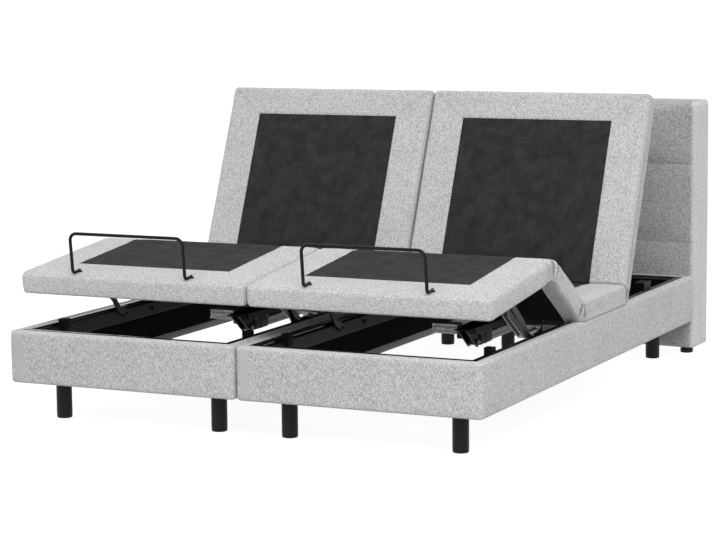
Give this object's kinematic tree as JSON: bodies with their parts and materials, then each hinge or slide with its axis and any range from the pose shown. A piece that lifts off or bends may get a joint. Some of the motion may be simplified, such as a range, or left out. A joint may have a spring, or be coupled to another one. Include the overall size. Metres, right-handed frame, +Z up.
{
  "type": "adjustable bed base",
  "caption": "Split adjustable bed base: upholstered box bases side by side with motor-raised back, thigh and calf sections, mattress retainer bars and a shared headboard.",
  "frame": {"origin": "on the floor, at the middle of the width and of the whole depth, headboard included", "axes": "+X to the right seen from the foot end, +Y to the headboard, +Z up"},
  "size_m": [1.6, 2.18, 0.9752],
  "materials": {
    "rail_fabric": "light grey melange woven upholstery over a wooden rail",
    "deck_fabric": "light grey melange woven border round a black woven centre panel, over foam and a frame",
    "headboard_fabric": "light grey melange woven upholstery with stitched seams",
    "black_plastic": "satin black",
    "drive_plastic": "fine grained black",
    "black_steel": "satin black powder coat",
    "grey_steel": "dark grey powder coat",
    "zinc_steel": "zinc plated",
    "drive_aluminium": "satin"
  },
  "bodies": {
    "chassis": {"headboard_front_pad": "headboard_fabric", "headboard_core": "headboard_fabric", "headboard_glide_left": "black_plastic", "headboard_glide_right": "black_plastic", "left_foot_rail": "rail_fabric", "left_head_rail": "rail_fabric", "left_rail_outer": "rail_fabric", "left_rail_inner": "rail_fabric", "left_leg_foot_outer": "black_plastic", "left_leg_foot_inner": "black_plastic", "left_leg_head_outer": "black_plastic", "left_leg_head_inner": "black_plastic", "left_side_member_outer": "grey_steel", "left_side_member_inner": "grey_steel", "left_cross_tube_front": "black_steel", "left_cross_tube_rear": "black_steel", "left_control_box": "drive_plastic", "left_seat_section": "deck_fabric", "right_foot_rail": "rail_fabric", "right_head_rail": "rail_fabric", "right_rail_outer": "rail_fabric", "right_rail_inner": "rail_fabric", "right_leg_foot_outer": "black_plastic", "right_leg_foot_inner": "black_plastic", "right_leg_head_outer": "black_plastic", "right_leg_head_inner": "black_plastic", "right_side_member_outer": "grey_steel", "right_side_member_inner": "grey_steel", "right_cross_tube_front": "black_steel", "right_cross_tube_rear": "black_steel", "right_control_box": "drive_plastic", "right_seat_section": "deck_fabric"},
    "left_back": {"left_back_section": "deck_fabric", "left_back_lever": "black_steel"},
    "left_thigh": {"left_thigh_section": "deck_fabric", "left_thigh_lever": "zinc_steel"},
    "left_calf": {"left_calf_section": "deck_fabric", "left_calf_frame": "black_steel", "left_retainer_bar": "black_steel"},
    "left_link_outer": {"left_calf_link_outer": "black_steel"},
    "left_link_inner": {"left_calf_link_inner": "black_steel"},
    "left_head_housing": {"left_head_drive_housing": "drive_plastic"},
    "left_head_rod": {"left_head_drive_rod": "drive_aluminium"},
    "left_leg_housing": {"left_leg_drive_housing": "drive_plastic"},
    "left_leg_rod": {"left_leg_drive_rod": "drive_aluminium"},
    "right_back": {"right_back_section": "deck_fabric", "right_back_lever": "black_steel"},
    "right_thigh": {"right_thigh_section": "deck_fabric", "right_thigh_lever": "zinc_steel"},
    "right_calf": {"right_calf_section": "deck_fabric", "right_calf_frame": "black_steel", "right_retainer_bar": "black_steel"},
    "right_link_outer": {"right_calf_link_outer": "black_steel"},
    "right_link_inner": {"right_calf_link_inner": "black_steel"},
    "right_head_housing": {"right_head_drive_housing": "drive_plastic"},
    "right_head_rod": {"right_head_drive_rod": "drive_aluminium"},
    "right_leg_housing": {"right_leg_drive_housing": "drive_plastic"},
    "right_leg_rod": {"right_leg_drive_rod": "drive_aluminium"}
  },
  "joints": [
    {"name": "left_back_raise", "type": "hinge", "parent": "chassis", "child": "left_back", "pos_m": [-0.4015, 0.187, 0.3024], "axis": [1, 0, 0], "range_deg": [-67.2, 2.8]},
    {"name": "left_thigh_raise", "type": "hinge", "parent": "chassis", "child": "left_thigh", "pos_m": [-0.4015, -0.258, 0.3024], "axis": [1, 0, 0], "range_deg": [-3, 32]},
    {"name": "left_calf_fold", "type": "hinge", "parent": "left_thigh", "child": "left_calf", "pos_m": [-0.4015, -0.51157, 0.46085], "axis": [1, 0, 0], "range_deg": [-38.25, 3.68]},
    {"name": "left_link_outer_swing", "type": "hinge", "parent": "chassis", "child": "left_link_outer", "pos_m": [-0.4015, -0.505, 0.2647], "axis": [1, 0, 0], "range_deg": [-3.48, 36.14]},
    {"name": "left_link_inner_swing", "type": "hinge", "parent": "chassis", "child": "left_link_inner", "pos_m": [-0.4015, -0.505, 0.2647], "axis": [1, 0, 0], "range_deg": [-3.48, 36.14]},
    {"name": "left_head_housing_tilt", "type": "hinge", "parent": "chassis", "child": "left_head_housing", "pos_m": [-0.4015, -0.454, 0.24], "axis": [1, 0, 0], "range_deg": [-0.593, 0.121]},
    {"name": "left_head_rod_pin", "type": "hinge", "parent": "left_back", "child": "left_head_rod", "pos_m": [-0.4015, 0.2269, 0.24983], "axis": [1, 0, 0], "range_deg": [-2.88, 66.81]},
    {"name": "left_leg_housing_tilt", "type": "hinge", "parent": "chassis", "child": "left_leg_housing", "pos_m": [-0.4015, 0.305, 0.2395], "axis": [1, 0, 0], "range_deg": [-0.112, 0.226]},
    {"name": "left_leg_rod_pin", "type": "hinge", "parent": "left_thigh", "child": "left_leg_rod", "pos_m": [-0.4015, -0.27801, 0.24038], "axis": [1, 0, 0], "range_deg": [-31.97, 3.09]},
    {"name": "right_back_raise", "type": "hinge", "parent": "chassis", "child": "right_back", "pos_m": [0.4015, 0.187, 0.3024], "axis": [1, 0, 0], "range_deg": [-67.2, 2.8]},
    {"name": "right_thigh_raise", "type": "hinge", "parent": "chassis", "child": "right_thigh", "pos_m": [0.4015, -0.258, 0.3024], "axis": [1, 0, 0], "range_deg": [-3, 32]},
    {"name": "right_calf_fold", "type": "hinge", "parent": "right_thigh", "child": "right_calf", "pos_m": [0.4015, -0.51157, 0.46085], "axis": [1, 0, 0], "range_deg": [-38.25, 3.68]},
    {"name": "right_link_outer_swing", "type": "hinge", "parent": "chassis", "child": "right_link_outer", "pos_m": [0.4015, -0.505, 0.2647], "axis": [1, 0, 0], "range_deg": [-3.48, 36.14]},
    {"name": "right_link_inner_swing", "type": "hinge", "parent": "chassis", "child": "right_link_inner", "pos_m": [0.4015, -0.505, 0.2647], "axis": [1, 0, 0], "range_deg": [-3.48, 36.14]},
    {"name": "right_head_housing_tilt", "type": "hinge", "parent": "chassis", "child": "right_head_housing", "pos_m": [0.4015, -0.454, 0.24], "axis": [1, 0, 0], "range_deg": [-0.593, 0.121]},
    {"name": "right_head_rod_pin", "type": "hinge", "parent": "right_back", "child": "right_head_rod", "pos_m": [0.4015, 0.2269, 0.24983], "axis": [1, 0, 0], "range_deg": [-2.88, 66.81]},
    {"name": "right_leg_housing_tilt", "type": "hinge", "parent": "chassis", "child": "right_leg_housing", "pos_m": [0.4015, 0.305, 0.2395], "axis": [1, 0, 0], "range_deg": [-0.112, 0.226]},
    {"name": "right_leg_rod_pin", "type": "hinge", "parent": "right_thigh", "child": "right_leg_rod", "pos_m": [0.4015, -0.27801, 0.24038], "axis": [1, 0, 0], "range_deg": [-31.97, 3.09]}
  ],
  "couplings": [
    {"joint": "left_calf_fold", "follows": "left_thigh_raise", "ratio": -1.1922},
    {"joint": "left_link_outer_swing", "follows": "left_thigh_raise", "ratio": 1.1262},
    {"joint": "left_link_inner_swing", "follows": "left_thigh_raise", "ratio": 1.1262},
    {"joint": "left_head_housing_tilt", "follows": "left_back_raise", "ratio": 0.00733},
    {"joint": "left_head_rod_pin", "follows": "left_back_raise", "ratio": -0.99267},
    {"joint": "left_leg_housing_tilt", "follows": "left_thigh_raise", "ratio": 0.003939},
    {"joint": "left_leg_rod_pin", "follows": "left_thigh_raise", "ratio": -0.99606},
    {"joint": "right_calf_fold", "follows": "right_thigh_raise", "ratio": -1.1922},
    {"joint": "right_link_outer_swing", "follows": "right_thigh_raise", "ratio": 1.1262},
    {"joint": "right_link_inner_swing", "follows": "right_thigh_raise", "ratio": 1.1262},
    {"joint": "right_head_housing_tilt", "follows": "right_back_raise", "ratio": 0.00733},
    {"joint": "right_head_rod_pin", "follows": "right_back_raise", "ratio": -0.99267},
    {"joint": "right_leg_housing_tilt", "follows": "right_thigh_raise", "ratio": 0.003939},
    {"joint": "right_leg_rod_pin", "follows": "right_thigh_raise", "ratio": -0.99606}
  ]
}
